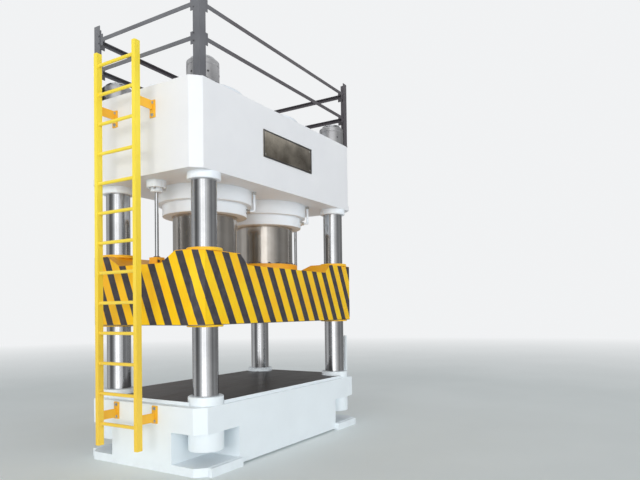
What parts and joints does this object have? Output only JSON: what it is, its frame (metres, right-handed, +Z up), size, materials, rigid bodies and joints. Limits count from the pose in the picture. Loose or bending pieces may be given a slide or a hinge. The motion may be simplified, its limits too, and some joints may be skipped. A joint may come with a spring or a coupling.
{
  "type": "hydraulic press",
  "caption": "Free-standing column press: bed and table, columns, crown with twin rams over a guided slide, return cylinders, guard rail and side ladder.",
  "frame": {"origin": "on the floor, under the middle of the bed and midway between the columns", "axes": "+X along the front towards the end away from the ladder, -Y towards the side with the nameplate, +Z up"},
  "size_m": [3.315, 1.69, 4.62],
  "materials": {
    "white_paint": "satin white machine paint, with yellow and grey warning stripes on the slide",
    "column_chrome": "ground and hard chromed",
    "nut_steel": "turned steel",
    "yellow_paint": "yellow machine paint",
    "ladder_yellow": "yellow machine paint",
    "guard_grey": "dark grey paint",
    "table_steel": "dark planed steel with an oily sheen",
    "plate_bronze": "dark bronze, bare of lettering",
    "bush_bronze": "bronze",
    "packing_rubber": "dark fabric-rubber packing"
  },
  "bodies": {
    "frame": {"bed": "white_paint", "table_plate": "table_steel", "crown": "white_paint", "nameplate": "plate_bronze", "column_front_left": "column_chrome", "column_front_right": "column_chrome", "column_back_right": "column_chrome", "column_back_left": "column_chrome", "lower_nut_front_left": "white_paint", "lower_nut_front_right": "white_paint", "lower_nut_back_right": "white_paint", "lower_nut_back_left": "white_paint", "bed_collar_front_left": "white_paint", "bed_collar_front_right": "white_paint", "bed_collar_back_right": "white_paint", "bed_collar_back_left": "white_paint", "crown_collar_front_left": "white_paint", "crown_collar_front_right": "white_paint", "crown_collar_back_right": "white_paint", "crown_collar_back_left": "white_paint", "top_nut_front_left": "nut_steel", "top_nut_front_right": "nut_steel", "top_nut_back_right": "nut_steel", "top_nut_back_left": "nut_steel", "main_barrel_left": "white_paint", "main_barrel_right": "white_paint", "gland_ring_left": "white_paint", "gland_ring_right": "white_paint", "packing_left": "packing_rubber", "packing_right": "packing_rubber", "guide_bush_left": "bush_bronze", "guide_bush_right": "bush_bronze", "ring_nut_left": "nut_steel", "ring_nut_right": "nut_steel", "fill_valve_left": "nut_steel", "fill_valve_right": "nut_steel", "return_barrel_left": "white_paint", "return_barrel_right": "white_paint", "ladder": "ladder_yellow", "guard_left": "guard_grey", "guard_right": "guard_grey", "limit_post": "white_paint"},
    "slide": {"slide": "white_paint", "upper_bush_front_left": "yellow_paint", "upper_bush_front_right": "yellow_paint", "upper_bush_back_right": "yellow_paint", "upper_bush_back_left": "yellow_paint", "lower_bush_front_left": "yellow_paint", "lower_bush_front_right": "yellow_paint", "lower_bush_back_right": "yellow_paint", "lower_bush_back_left": "yellow_paint", "ram_left": "column_chrome", "ram_right": "column_chrome", "ram_ring_left": "yellow_paint", "ram_ring_right": "yellow_paint", "return_rod_left": "column_chrome", "return_rod_right": "column_chrome", "rod_anchor_left": "yellow_paint", "rod_anchor_right": "yellow_paint"}
  },
  "joints": [
    {"name": "slide_travel", "type": "slide", "parent": "frame", "child": "slide", "axis": [0, 0, 1], "range_m": [-0.52, 0.4]}
  ]
}
